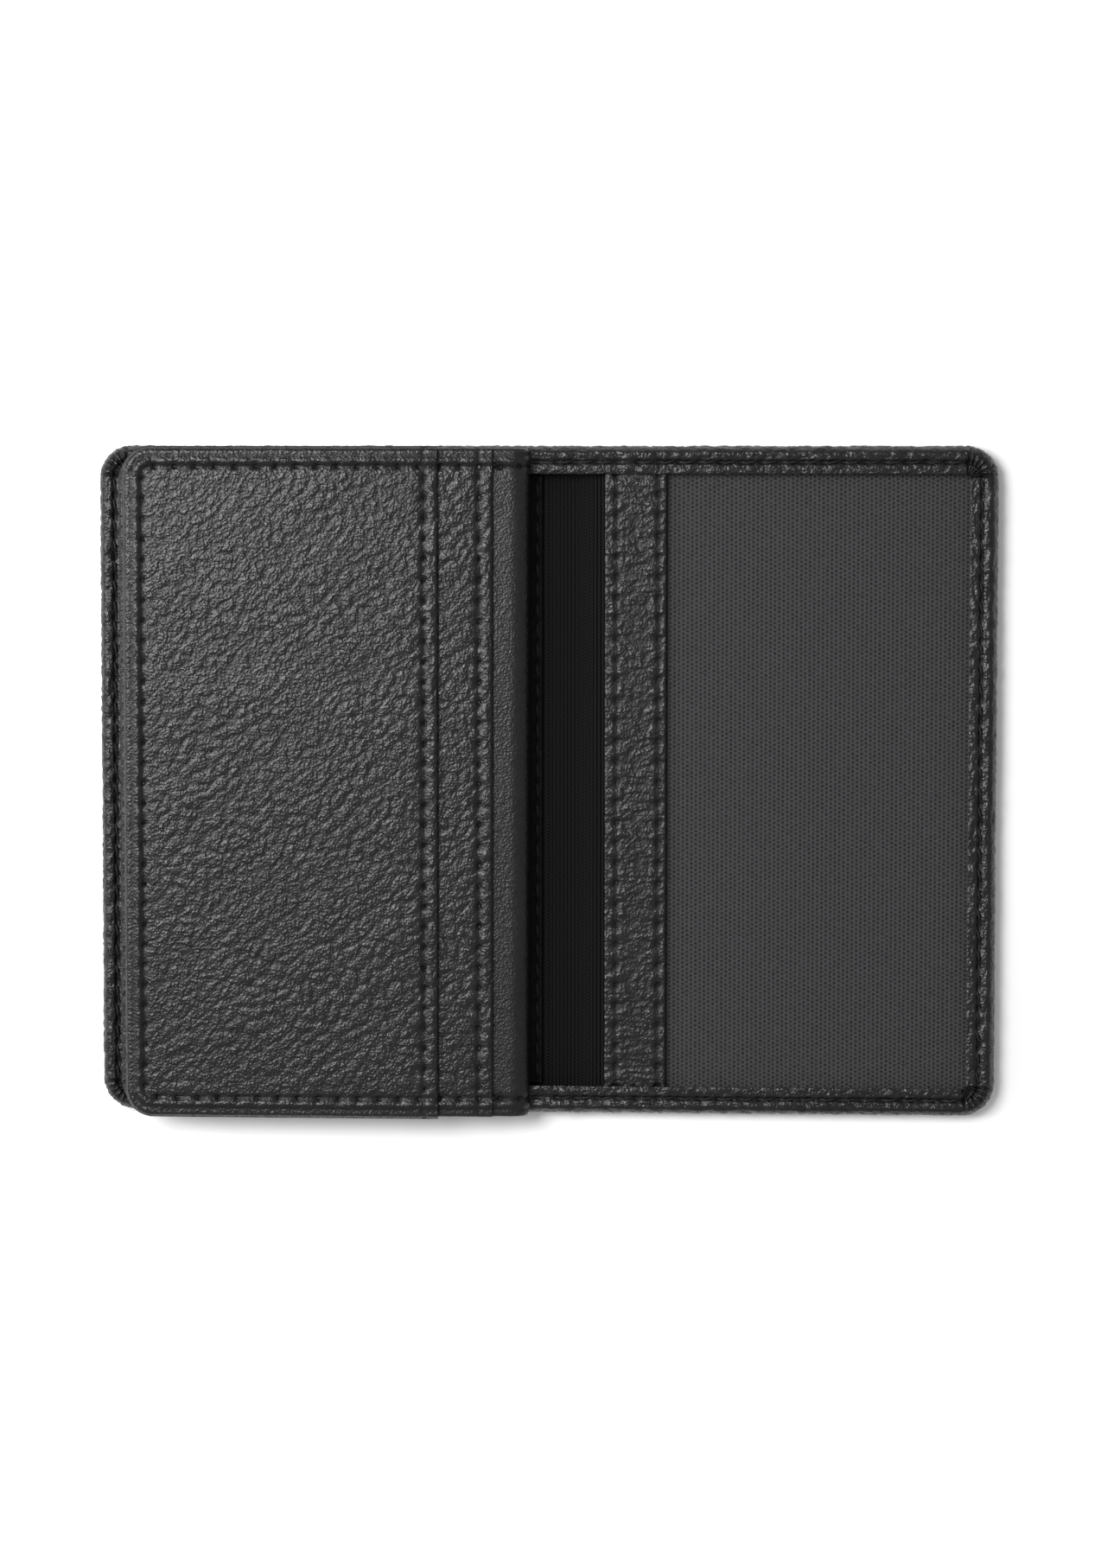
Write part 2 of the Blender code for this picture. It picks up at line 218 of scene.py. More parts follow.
def mesh_object(name, points, faces, material, shade=None, sharp=40):
    """A smooth object from points in millimetres. Its rest place and shade go to the material as
    attributes; the shade paints shade and highlights into its colour. Edges sharper than sharp degrees
    stay sharp, and 0 keeps none."""
    points = np.asarray(points, float)
    mesh = bpy.data.meshes.new(name)
    mesh.from_pydata((points * MM).tolist(), [], [list(map(int, face)) for face in faces])
    mesh.shade_smooth()
    if sharp:
        mesh.set_sharp_from_angle(angle=math.radians(sharp))
    rest = mesh.attributes.new("rest", "FLOAT_VECTOR", "POINT")
    rest.data.foreach_set("vector", points.astype(np.float32).ravel())
    painted_shade = mesh.attributes.new("shade", "FLOAT", "POINT")
    values = np.ones(len(points)) if shade is None else np.asarray(shade).ravel()
    painted_shade.data.foreach_set("value", values.astype(np.float32))
    mesh.materials.append(material)
    obj = bpy.data.objects.new(name, mesh)
    bpy.context.scene.collection.objects.link(obj)
    return obj


def grid_faces(rows, columns):
    """Quads of a grid of points, facing up where rows run along +Y and columns along +X."""
    index = np.arange(rows * columns).reshape(rows, columns)
    corners = [index[:-1, :-1], index[:-1, 1:], index[1:, 1:], index[1:, :-1]]
    return np.stack(corners, -1).reshape(-1, 4).tolist()


def rim_of(rows, columns):
    """A grid's outer points, anticlockwise from its first."""
    index = np.arange(rows * columns).reshape(rows, columns)
    return np.concatenate([index[0, :-1], index[:-1, -1], index[-1, :0:-1], index[:0:-1, 0]])


def band(first, second, closed=True):
    """Quads between two rows of points. They face right as seen along the first row, with the second row
    above it."""
    if closed:
        following = (np.roll(first, -1), np.roll(second, -1))
        return np.stack([second, first, following[0], following[1]], -1).tolist()
    return np.stack([second[:-1], first[:-1], first[1:], second[1:]], -1).tolist()


def lines(low, high, pitch, fine_low=True, fine_high=True):
    """Grid lines from low to high, closer together at a fine end."""
    start = low + EDGE_LINES[-1] if fine_low else low
    stop = high - EDGE_LINES[-1] if fine_high else high
    middle = np.linspace(start, stop, max(2, round((stop - start) / pitch) + 1))
    left = low + EDGE_LINES[:-1] if fine_low else []
    right = (high - EDGE_LINES[:-1])[::-1] if fine_high else []
    return np.concatenate([left, middle, right])


def round_corners(x, y, low, high, radius, ends):
    """Squeezes a rectangular grid's corners into arcs, at the ends that are named."""
    x, y = x.copy(), y.copy()
    for end in ends:
        outward = 1 if end == "right" else -1
        centre_x = high[0] - radius if end == "right" else low[0] + radius
        for side in (-1, 1):
            centre_y = high[1] - radius if side > 0 else low[1] + radius
            s, t = outward * (x - centre_x) / radius, side * (y - centre_y) / radius
            corner = (s > 0) & (t > 0)
            s, t = np.clip(s, 0, 1), np.clip(t, 0, 1)
            x = np.where(corner, centre_x + outward * radius * s * np.sqrt(1 - t * t / 2), x)
            y = np.where(corner, centre_y + side * radius * t * np.sqrt(1 - s * s / 2), y)
    return x, y


def outline(x, y, low, high, radius, ends):
    """(depth in from the outline, its outward direction in x, and in y). An end not named is open."""
    far = 1000.0
    left = low[0] - (0 if "left" in ends else far)
    right = high[0] + (0 if "right" in ends else far)
    dx, dy = x - (left + right) / 2, y - (low[1] + high[1]) / 2
    qx = np.abs(dx) - (right - left) / 2 + radius
    qy = np.abs(dy) - (high[1] - low[1]) / 2 + radius
    outer = np.hypot(np.maximum(qx, 0), np.maximum(qy, 0))
    depth = radius - outer - np.minimum(np.maximum(qx, qy), 0)
    nx, ny = np.maximum(qx, 0), np.maximum(qy, 0)
    flat = np.maximum(np.hypot(nx, ny), 1e-9)
    return depth, np.sign(dx) * nx / flat, np.sign(dy) * ny / flat


def nearest_hole(x, y, holes):
    """Squared distance to the nearest stitch hole."""
    near = np.full(np.shape(x), 1e6)
    for hole_x, hole_y in holes:
        np.minimum(near, (x - hole_x) ** 2 + (y - hole_y) ** 2, out=near)
    return near


def rounded_rim(depth, radius):
    """How far a rounded edge drops."""
    inward = 1 - np.clip(depth / radius, 0, 1)
    return radius * (1 - np.sqrt(np.clip(1 - inward * inward, 0, 1)))


# Stitches


def straight_route(x, low, high):
    """A straight row at x, from y = low to y = high."""
    return [(x, low), (x, high)]


def edge_route(low, high, radius, end, inset):
    """Points round an edge, set in by inset: along the top, round the corners at the named end, and
    back along the bottom."""
    arc = radius - inset
    outward = 1 if end == "right" else -1
    fore = high[0] if end == "right" else low[0]
    start = low[0] if end == "right" else high[0]
    centre_x = fore - outward * radius
    points = [(start, high[1] - inset)]
    for side in (1, -1):
        centre_y = high[1] - radius if side > 0 else low[1] + radius
        for step in range(9):
            angle = math.radians(90 * (1 - step / 8) if side > 0 else -90 * step / 8)
            points.append((centre_x + outward * arc * math.cos(angle), centre_y + arc * math.sin(angle)))
    points.append((start, low[1] + inset))
    return points


def stitches_along(route):
    """(centre, direction) of each stitch, and each stitch hole, evenly spaced along a route."""
    route = np.array(route, float)
    step = np.diff(route, axis=0)
    reach = np.concatenate([[0], np.cumsum(np.hypot(*step.T))])
    count = round(reach[-1] / PITCH)

    def at(length):
        return np.stack([np.interp(length, reach, route[:, k]) for k in (0, 1)], -1)

    holes = at(np.linspace(0, reach[-1], count + 1))
    centres = (holes[1:] + holes[:-1]) / 2
    along = holes[1:] - holes[:-1]
    along /= np.hypot(*along.T)[:, None]
    return centres, along, holes


def stitch_row(name, row, height, material, slant=0, ways=(1,)):
    """Separate stitches that lie in a groove and dive into their holes. height gives the leather's face
    at x. slant is in degrees. ways holds 1 for stitches that face up, -1 for those that face down."""
    centres, along, _ = row
    around = np.linspace(0, 2 * np.pi, STITCH_SIDES + 1)[:-1]
    run = np.linspace(-1, 1, STITCH_RINGS)
    u, a = np.meshgrid(run, around, indexing="ij")
    taper = np.sqrt(np.clip(1.02 - run**6, 0, 1))
    width = (THREAD / 2 * taper)[:, None] * (1 + 0.12 * np.cos(2 * a + 7 * u))
    points, faces, shade = [], [], []
    for way in ways:
        for centre, direction in zip(centres, along):
            turn = math.radians(slant * way)
            tx = direction[0] * math.cos(turn) - direction[1] * math.sin(turn)
            ty = direction[0] * math.sin(turn) + direction[1] * math.cos(turn)
            face = height(centre[0], way)
            first = len(points) * STITCH_RINGS * STITCH_SIDES
            x = centre[0] + tx * u * STITCH_LENGTH / 2 - ty * np.cos(a) * width
            y = centre[1] + ty * u * STITCH_LENGTH / 2 + tx * np.cos(a) * width
            z = face + way * (np.sin(a) * width * 0.8 - STITCH_DIP * np.abs(u) ** 3)
            points.append(np.stack([x, y, z], -1).reshape(-1, 3))
            # Painted shade: each stitch darkens towards its ends, where it dives into its holes.
            shade.append(1 - 0.5 * np.abs(u) ** 2)
            for ring in range(STITCH_RINGS - 1):
                lower = first + ring * STITCH_SIDES + np.arange(STITCH_SIDES)
                faces += band(lower + STITCH_SIDES, lower)
            faces.append(list(range(first + STITCH_SIDES - 1, first - 1, -1)))
            last = first + (STITCH_RINGS - 1) * STITCH_SIDES
            faces.append(list(range(last, last + STITCH_SIDES)))
    return mesh_object(name, np.concatenate(points), faces, material, np.concatenate(shade), sharp=0)


# Leathers


def panel(name, low, high, relief, material, ends=(), radius=CORNER, pitch=0.32, foot=None):
    """A slab with a modelled upper face. relief takes (x, y, depth in from the edge), and gives (z,
    shade). foot is how low an edge reaches where it is turned under, and other edges stop at the slab's
    underside."""
    xs = lines(low[0], high[0], pitch)
    ys = lines(low[1], high[1], pitch)
    x, y = round_corners(*np.meshgrid(xs, ys), low, high, radius, ends)
    depth, nx, ny = outline(x, y, low, high, radius, ends)
    z, shade = relief(x, y, depth)
    points = [np.stack([x, y, z], -1).reshape(-1, 3)]
    faces = grid_faces(*x.shape)
    rim = rim_of(*x.shape)
    outward = np.stack([nx.ravel()[rim], ny.ravel()[rim], 0 * rim], -1)
    edge, count = points[0][rim], x.size
    turned = depth.ravel()[rim] < 0.01
    profile = [(0.0, low[2])]
    if foot is not None:
        middle = (high[2] + foot) / 2
        profile = [(0.28, middle + 0.3), (0.3, middle - 0.3), (0.0, foot)]
        profile += [(-FRONT_RIM, foot), (-FRONT_RIM, low[2])]
    edge_shade = shade.ravel()[rim]
    shades = [shade.ravel()]
    for out, level in profile:
        ring = edge.copy()
        ring[turned] += outward[turned] * out
        ring[:, 2] = np.where(turned, level, max(level, low[2]))
        points.append(ring)
        shades.append(edge_shade)
        following = count + np.arange(len(rim))
        faces += band(following, rim)
        rim = following
        count += len(rim)
    faces.append(rim[::-1].tolist())
    return mesh_object(name, np.concatenate(points), faces, material, np.concatenate(shades))


def edge_profile(roll, thickness, border):
    """(outward, height, outward and upward parts of the normal, length along the leather) of a turned
    edge, from the back, round the edge and in to the border's mouth."""
    turns = np.linspace(0, np.pi, 15)[1:]
    out, up = roll * np.sin(turns), thickness / 2 * (1 - np.cos(turns))
    side, rise = np.sin(turns), -np.cos(turns)
    inner = np.linspace(0, border - roll, 22)[1:]
    lip = np.array([(0.05, 0.12), (0.02, 0.4), (-0.25, 0.62), (-1.4, 0.62)])
    out = np.concatenate([out, -inner, -(border - roll) - lip[:, 0]])
    up = np.concatenate([up, np.full(len(inner), thickness), thickness - lip[:, 1]])
    side = np.concatenate([side, np.zeros(len(inner) + len(lip))])
    rise = np.concatenate([rise, np.ones(len(inner)), [0.6, 0, 0, 0]])
    length = np.cumsum(np.hypot(np.diff(out, prepend=0), np.diff(up, prepend=0)))
    return out, up, side, rise, length


def back_grid(low, high, corner_size, pitch):
    """Grid over a panel's back with round fore corners, and closer lines there for the pleats."""
    corner_lines = np.linspace(0, corner_size, 22)
    xs = lines(low[0], high[0] - corner_size, pitch, False, False)
    xs = np.concatenate([xs, high[0] - corner_size + corner_lines[1:]])
    ys = lines(low[1] + corner_size, high[1] - corner_size, pitch, False, False)
    upper_lines = high[1] - corner_size + corner_lines[1:]
    ys = np.concatenate([low[1] + corner_lines[:-1], ys, upper_lines])
    return round_corners(*np.meshgrid(xs, ys), low, high, corner_size, ("right",))


def wrapped(name, low, high, side, roll, border, inset, holes, seed, pitch=0.4, open_end=0.0):
    """Leather over a panel's back that is rolled over its edges and turned in on top. It is made with
    its fore edge at +X and mirrored where side is -1. Its grain isn't mirrored with it."""
    start, fore = open_end, max(abs(low[0]), abs(high[0]))
    inner_low = (start, low[1] + roll)
    inner_high = (fore - roll, high[1] - roll)
    full_low, full_high = (start, low[1]), (fore, high[1])
    corner_size = CORNER - roll

    # The back
    x, y = back_grid(inner_low, inner_high, corner_size, pitch)
    depth, _, _ = outline(x, y, full_low, full_high, CORNER, ("right",))
    mirrored = [(side * hole_x, hole_y) for hole_x, hole_y in holes]
    near = nearest_hole(x, y, mirrored)
    height = grain(side * x, y, seed)
    sink = PEBBLE_DEPTH * (height - 1) - 0.16 * ridge(depth, inset, 0.4) - 0.2 * np.exp(-near / HOLE**2)
    back = np.stack([x, y, low[2] - sink], -1).reshape(-1, 3)
    # Painted shade on the back: darker in the grain's creases and in the stitch holes.
    shades = [(height - 0.5 * np.exp(-near / HOLE**2)).ravel()]

    # The turned edge, in rings from the back to the border's mouth
    rows, columns = x.shape
    index = np.arange(x.size).reshape(rows, columns)
    path = np.concatenate([index[-1, :-1], index[:0:-1, -1], index[0, ::-1]])
    base = back[path][:, :2]
    _, nx, ny = outline(base[:, 0], base[:, 1], inner_low, inner_high, corner_size, ("right",))
    out, up, sideways, rise, length = edge_profile(roll, high[2] - low[2], border)
    px, py = base[:, 0] + np.outer(out, nx), base[:, 1] + np.outer(out, ny)
    flat_x, flat_y = base[:, 0] + np.outer(length, nx), base[:, 1] + np.outer(length, ny)
    height = grain(side * flat_x, flat_y, seed)
    inward = roll - out[:, None]
    on_top = smooth(rise, 0.2, 1.0)[:, None]
    near = nearest_hole(px, py, mirrored)
    hole, gather = np.exp(-near / HOLE**2), np.exp(-near / PUCKER**2)

    # Its pleats, gathers and puffs
    round_corner = np.arctan2(np.abs(ny), nx) / (np.pi / 2)
    pleat = 1 - np.abs(np.cos(PLEATS * np.pi * round_corner)) ** 0.7
    pleat = pleat * smooth(length[:, None], 2.4, 5.2)
    step = np.hypot(*np.diff(base, axis=0, prepend=base[:1]).T)
    gathers_x, gathers_y = np.cumsum(step) + 0 * px, 0.4 * length[:, None] + 0 * px
    gathers = grain(gathers_x, gathers_y, seed + 40, size=1.3, lean=8)
    puff = 0.16 * hump(inward, 0.2, inset) + 0.12 * hump(inward, inset, border + 0.3)
    lump = 0.14 * sum(ridge(px, end, 0.7) for end in LAYER_ENDS) * hump(inward, 0.6, border)
    folded = smooth(length[:, None], 0.3, 1.6)
    move = PEBBLE_DEPTH * (height - 1) + on_top * (puff * (1 - 0.55 * gather) + lump)
    move += 0.22 * folded * (gathers - 0.6)
    move -= on_top * (0.08 + GROOVE * ridge(inward, inset, GROOVE_WIDTH) + 0.45 * hole)
    move -= PLEAT_DEPTH * pleat
    tucked_in = (out < 0) & (up < up.max() - 0.3)
    move = np.where(tucked_in[:, None], 0.0, move)
    rings = np.stack(
        [
            px + nx * sideways[:, None] * move,
            py + ny * sideways[:, None] * move,
            low[2] + up[:, None] + rise[:, None] * move,
        ],
        -1,
    )
    # Painted shade on the turned edge: darker in the grain's creases and gathers, the stitch holes, the
    # groove and the pleats.
    painted_shade = 0.5 * height + 0.5 * gathers - 0.9 * hole - 0.4 * on_top * ridge(inward, inset, 0.27)
    shades.append(np.clip(painted_shade - 0.8 * pleat, 0, 1).ravel())

    faces = [face[::-1] for face in grid_faces(rows, columns)]
    lower = path
    for ring in range(len(out)):
        upper = x.size + ring * len(path) + np.arange(len(path))
        faces += [face[::-1] for face in band(lower, upper, closed=False)]
        lower = upper
    points = np.concatenate([back, rings.reshape(-1, 3)])
    if side < 0:
        points[:, 0] *= -1
        faces = [face[::-1] for face in faces]
    return mesh_object(name, points, faces, PEBBLED, np.concatenate(shades), sharp=0)


def strip_sweep(name, route, low_y, high_y, thickness, relief, material, pitch=0.35):
    """Leather swept along Y. route lists (x, z) of its outer face, with that face on its left.
    relief takes (x, y, length along the route) and gives (how far the face rises, its shade)."""
    route = np.array(route, float)
    step = np.gradient(route, axis=0)
    step /= np.hypot(*step.T)[:, None]
    normal = np.stack([-step[:, 1], step[:, 0]], -1)
    length = np.concatenate([[0], np.cumsum(np.hypot(*np.diff(route, axis=0).T))])
    ys = lines(low_y, high_y, pitch)
    along, y = np.meshgrid(length, ys)
    x, z = np.meshgrid(route[:, 0], ys)[0], np.meshgrid(route[:, 1], ys)[0]
    rise, shade = relief(x, y, along)
    outer = np.stack([x + normal[:, 0] * rise, y, z + normal[:, 1] * rise], -1).reshape(-1, 3)
    inner = np.stack([x - normal[:, 0] * thickness, y, z - normal[:, 1] * thickness], -1).reshape(-1, 3)
    rows, columns = x.shape
    faces = grid_faces(rows, columns)
    faces += [[k + x.size for k in face[::-1]] for face in grid_faces(rows, columns)]
    rim = rim_of(rows, columns)
    faces += band(rim + x.size, rim)
    return mesh_object(
        name, np.concatenate([outer, inner]), faces, material, np.concatenate([shade.ravel()] * 2)
    )


# Materials


def node(tree, kind, inputs=(), **settings):
    """Adds a node. Inputs are values, or sockets to link from."""
    made = tree.nodes.new(kind)
    for name, value in settings.items():
        setattr(made, name, value)
    for name, value in dict(inputs).items():
        if isinstance(value, bpy.types.NodeSocket):
            tree.links.new(value, made.inputs[name])
        else:
            made.inputs[name].default_value = value
    return made


def math_node(tree, operation, first, second=0.0):
    """Adds a math node, and gives its value."""
    return node(tree, "ShaderNodeMath", {0: first, 1: second}, operation=operation).outputs[0]


def mix(tree, factor, low, high):
    """Mixes two colours by a factor."""
    made = node(tree, "ShaderNodeMix", data_type="RGBA")
    for socket, value in zip((0, 6, 7), (factor, low, high)):
        if isinstance(value, bpy.types.NodeSocket):
            tree.links.new(value, made.inputs[socket])
        else:
            made.inputs[socket].default_value = value
    return made.outputs[2]


def span(tree, value, low, high, to_low, to_high):
    """Maps low to to_low and high to to_high, and clamps past them."""
    inputs = {"Value": value, "From Min": low, "From Max": high, "To Min": to_low, "To Max": to_high}
    return node(tree, "ShaderNodeMapRange", inputs).outputs["Result"]


def grey(value, blue=1.0):
    """An opaque grey, bluish where blue is above 1."""
    return (value, value, value * blue, 1.0)


def new_material(name, cad=False, **shader):
    """(material, tree, shader node, rest place in millimetres). Constants go on the shader's sockets.
    cad is for CAD nodes, which have no rest attribute, so their own coordinates give the place."""
    material = bpy.data.materials.new(name)
    material.use_nodes = True
    tree = material.node_tree
    surface = tree.nodes["Principled BSDF"]
    for socket, value in shader.items():
        surface.inputs[socket.replace("_", " ")].default_value = value
    if cad:
        inside = node(tree, "ShaderNodeTexCoord").outputs["Object"]
        to_mm = {0: inside, 1: (1 / MM, 1 / MM, 1 / MM)}
        place = node(tree, "ShaderNodeVectorMath", to_mm, operation="MULTIPLY").outputs["Vector"]
    else:
        place = node(tree, "ShaderNodeAttribute", attribute_name="rest").outputs["Vector"]
    return material, tree, surface, place


def noise_node(tree, place, scale, detail, roughness=0.5):
    """Adds a noise texture, and gives its value."""
    inputs = {"Vector": place, "Scale": scale, "Detail": detail, "Roughness": roughness}
    return node(tree, "ShaderNodeTexNoise", inputs).outputs["Fac"]


def bump(tree, surface, height, depth):
    """Fine relief, depth millimetres for each 1 of height."""
    inputs = {"Height": height, "Distance": depth * MM, "Strength": 1.0}
    made = node(tree, "ShaderNodeBump", inputs)
    tree.links.new(made.outputs["Normal"], surface.inputs["Normal"])


def leather_material(name, dark, light, rough, pore, depth, shine=0.36):
    """Black leather with pores pore millimetres wide and fine wrinkles. Its colour is painted darker by
    the shade attribute, as painted shade in its creases, grooves and holes, and lighter where that
    attribute holds a painted highlight. It is duller in its creases, and a little worn in patches."""
    material, tree, surface, place = new_material(name, Specular_IOR_Level=shine)
    shade = node(tree, "ShaderNodeAttribute", attribute_name="shade").outputs["Fac"]
    cell = {"Vector": place, "Scale": 1 / pore}
    pores = node(tree, "ShaderNodeTexVoronoi", cell, feature="SMOOTH_F1").outputs["Distance"]
    wrinkle = noise_node(tree, place, 0.5 / pore, 3.0, 0.6)
    patches = noise_node(tree, place, 0.22, 3.0)
    # Colour: the shade attribute's painted shade and highlights, scaled by patches of wear.
    wear_and_painted_shade = math_node(tree, "MULTIPLY", shade, span(tree, patches, 0.3, 0.7, 0.75, 1.1))
    colour = mix(tree, span(tree, wear_and_painted_shade, 0.15, 0.85, 0.0, 1.0), grey(dark), grey(light))
    tree.links.new(colour, surface.inputs["Base Color"])
    gloss = span(tree, wrinkle, 0.3, 0.7, rough + 0.08, rough - 0.08)
    dull = span(tree, shade, 0.0, 0.5, 0.3, 0.0)
    tree.links.new(math_node(tree, "ADD", gloss, dull), surface.inputs["Roughness"])
    height = math_node(tree, "ADD", math_node(tree, "MULTIPLY", pores, -0.9), wrinkle)
    bump(tree, surface, height, depth)
    return material


def twill_material(name, rib, cad=False):
    """Black nylon twill: upright ribs crossed by short slanted floats."""
    material, tree, surface, place = new_material(
        name, cad, Roughness=0.55, Specular_IOR_Level=0.12, Sheen_Weight=0.02, Sheen_Roughness=0.4
    )
    apart = node(tree, "ShaderNodeSeparateXYZ", {"Vector": place})
    across = math_node(tree, "MULTIPLY", apart.outputs["X"], 2 * math.pi / rib)
    ribs = math_node(tree, "SINE", across)
    slope = math_node(tree, "MULTIPLY", apart.outputs["Y"], 2 * math.pi / (0.9 * rib))
    slant = math_node(tree, "MULTIPLY", across, 0.5)
    floats = math_node(tree, "SINE", math_node(tree, "ADD", slope, slant))
    ribs, floats = math_node(tree, "ADD", ribs, 1.0), math_node(tree, "ADD", floats, 1.4)
    height = math_node(tree, "MULTIPLY", ribs, floats)
    fibres = span(tree, noise_node(tree, place, 9.0, 3.0), 0.3, 0.7, 0.7, 1.2)
    level = math_node(tree, "MULTIPLY", span(tree, height, 0.6, 4.4, 0.0, 1.0), fibres)
    tree.links.new(mix(tree, level, grey(0.0002), grey(0.012)), surface.inputs["Base Color"])
    bump(tree, surface, height, 0.035)
    return material


def weave_material(name, thread):
    """Dark grey plain weave of flat, matt threads, uneven from thread to thread."""
    material, tree, surface, place = new_material(name, Roughness=0.8, Specular_IOR_Level=0.12)
    apart = node(tree, "ShaderNodeSeparateXYZ", {"Vector": place})
    across, up = (math_node(tree, "MULTIPLY", apart.outputs[axis], 1 / thread) for axis in "XY")
    stagger = math_node(tree, "MULTIPLY", math_node(tree, "FLOOR", across), 0.5)
    up = math_node(tree, "ADD", up, stagger)
    waves = [math_node(tree, "SINE", math_node(tree, "MULTIPLY", way, math.pi)) for way in (across, up)]
    gap = math_node(tree, "ABSOLUTE", math_node(tree, "MULTIPLY", *waves))
    uneven = span(tree, noise_node(tree, place, 2.6, 4.0, 0.7), 0.3, 0.7, -0.22, 0.22)
    level = math_node(tree, "ADD", span(tree, gap, 0.2, 0.95, 0.85, 0.1), uneven)
    tree.links.new(mix(tree, level, grey(0.004, 1.07), grey(0.056, 1.05)), surface.inputs["Base Color"])
    bump(tree, surface, math_node(tree, "SUBTRACT", uneven, gap), 0.05)
    return material


def film_material(name):
    """Thin clear film, seen by its faint gloss and the dust and small scratches on it."""
    material, tree, surface, place = new_material(name, cad=True, Alpha=0.05, Specular_IOR_Level=0.5)
    specks = noise_node(tree, place, 3.0, 5.0)
    tree.links.new(mix(tree, specks, grey(0.01), grey(0.05)), surface.inputs["Base Color"])
    tree.links.new(span(tree, specks, 0.3, 0.7, 0.32, 0.5), surface.inputs["Roughness"])
    return material


def thread_material(name):
    """Black bonded thread, uneven, and painted darker where it goes into its holes, as painted shade."""
    material, tree, surface, place = new_material(name, Roughness=0.6, Specular_IOR_Level=0.25)
    strands = noise_node(tree, place, 5.0, 3.0)
    shade = node(tree, "ShaderNodeAttribute", attribute_name="shade").outputs["Fac"]
    level = math_node(tree, "MULTIPLY", strands, shade)
    tree.links.new(mix(tree, level, grey(0.001), grey(0.009)), surface.inputs["Base Color"])
    bump(tree, surface, strands, 0.03)
    return material


def card_material(name):
    """Brown pressed card, flecked with fibres."""
    material, tree, surface, place = new_material(name, cad=True, Specular_IOR_Level=0.2)
    fibres = noise_node(tree, place, 0.9, 5.0)
    colour = mix(tree, fibres, (0.16, 0.13, 0.1, 1), (0.3, 0.26, 0.2, 1))
    tree.links.new(colour, surface.inputs["Base Color"])
    tree.links.new(span(tree, fibres, 0.2, 0.8, 0.95, 0.8), surface.inputs["Roughness"])
    bump(tree, surface, fibres, 0.02)
    return material


PEBBLED = leather_material("pebbled_leather", 0.0006, 0.01, 0.3, 0.34, 0.1)
WRINKLED = leather_material("strip_leather", 0.0006, 0.008, 0.32, 0.34, 0.09)
SMOOTH = leather_material("smooth_leather", 0.001, 0.008, 0.36, 0.3, 0.08)
# The gutter's part of the hinge leather gets a darker copy of its leather: painted shade for the deep
# gutter.
MATT_PAINTED_SHADE = leather_material("gutter_leather", 0.0005, 0.003, 0.6, 0.24, 0.06, shine=0.15)
TWILL = twill_material("twill_lining", TWILL_RIB)
LINER = twill_material("slot_liner_twill", TWILL_RIB, cad=True)
WEAVE = weave_material("grey_weave", WEAVE_THREAD)
FILM = film_material("clear_film")
THREADS = thread_material("thread")
CARD = card_material("card_board")


# Pieces


def belongs(obj, body=None, bend=None, nodes=()):
    """Hides the CAD nodes that a piece stands for, and sets the piece on the body it rides on. A piece
    given a bend has its place baked into its mesh instead. bend is (first body, second body, where the
    bend starts, where it ends); only whether it is given is read."""
    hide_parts(*nodes)
    if bend:
        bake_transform(obj)
    else:
        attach(obj, body)
    return obj


def cover_bend(side):
    """Where a cover's soft layers bend between the spine and the cover."""
    inner, outer = side * (CREASE - FOLD), side * (CREASE + FOLD)
    if side > 0:
        return "spine", "right_cover", (inner, 0, 0), (outer, 0, 0)
    return "left_cover", "spine", (outer, 0, 0), (inner, 0, 0)


def side_name(side):
    return "right" if side > 0 else "left"


def mirror(row, side):
    """A row of stitches on the given side of the middle."""
    centres, along, holes = (np.array(part, float) for part in row)
    for part in (centres, along, holes):
        part[:, 0] *= side
    return centres, along, holes


def cover_leather(side):
    """A cover's leather with its half of the spine, and the stitches round its edge."""
    name = side_name(side)
    low, high = COVER_LOW.copy(), COVER_HIGH.copy()
    low[0] = 0
    route = edge_route(low, high, CORNER, "right", COVER_INSET)
    route[0] = (PITCH / 2, route[0][1])
    route[-1] = (PITCH / 2, route[-1][1])
    row = mirror(stitches_along(route), side)
    leather = wrapped(
        name + "_cover_leather", low, high, side, COVER_ROLL, COVER_BORDER, COVER_INSET, row[2], seed=11
    )
    belongs(
        leather, bend=cover_bend(side),
        nodes=[name + "_outer_leather", "spine_outer_leather"],
    )
    top = high[2] - 0.2

    def height(x, way):
        return top if way > 0 else PEBBLE_DEPTH + 0.02

    thread = stitch_row(name + "_edge_stitches", row, height, THREADS, 12, ways=(1, -1))
    belongs(
        thread, bend=cover_bend(side),
        nodes=[name + "_edge_stitching", "spine_top_stitching", "spine_bottom_stitching"],
    )


def cloth_grid(xs, ys):
    """A cover's flat cloth, with its fore corners cut round to fit inside the leather."""
    radius = CORNER - (COVER_HIGH[0] - xs[-1])
    return round_corners(*np.meshgrid(xs, ys), (xs[0], ys[0]), (xs[-1], ys[-1]), radius, ("right",))


